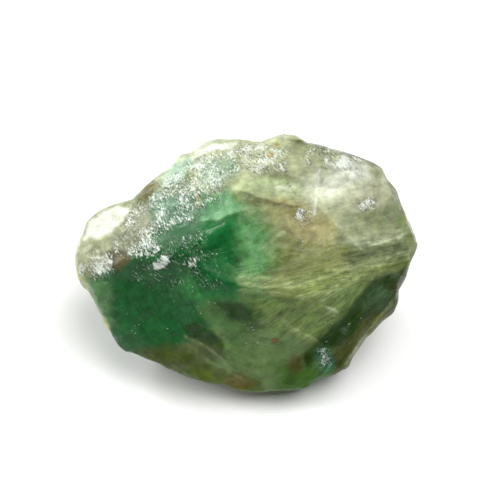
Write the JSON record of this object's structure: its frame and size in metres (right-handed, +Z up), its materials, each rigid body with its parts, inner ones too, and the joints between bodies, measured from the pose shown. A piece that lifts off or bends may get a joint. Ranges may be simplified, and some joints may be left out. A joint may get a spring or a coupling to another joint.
{
  "type": "rough green stone",
  "caption": "Rough, water-worn lump of translucent banded green, cream and tan stone, resting on its flattest side.",
  "frame": {"origin": "middle of its box, on the level surface that it rests on", "axes": "+X along its longest side, +Z up; its best side looks forward and up, between -Y and +Z"},
  "size_m": [0.0718, 0.0492, 0.0408],
  "materials": {
    "green_stone": "glassy and water-worn, with a frosted, freshly broken band across its upper left"
  },
  "bodies": {
    "root": {"stone": "green_stone"}
  },
  "joints": []
}
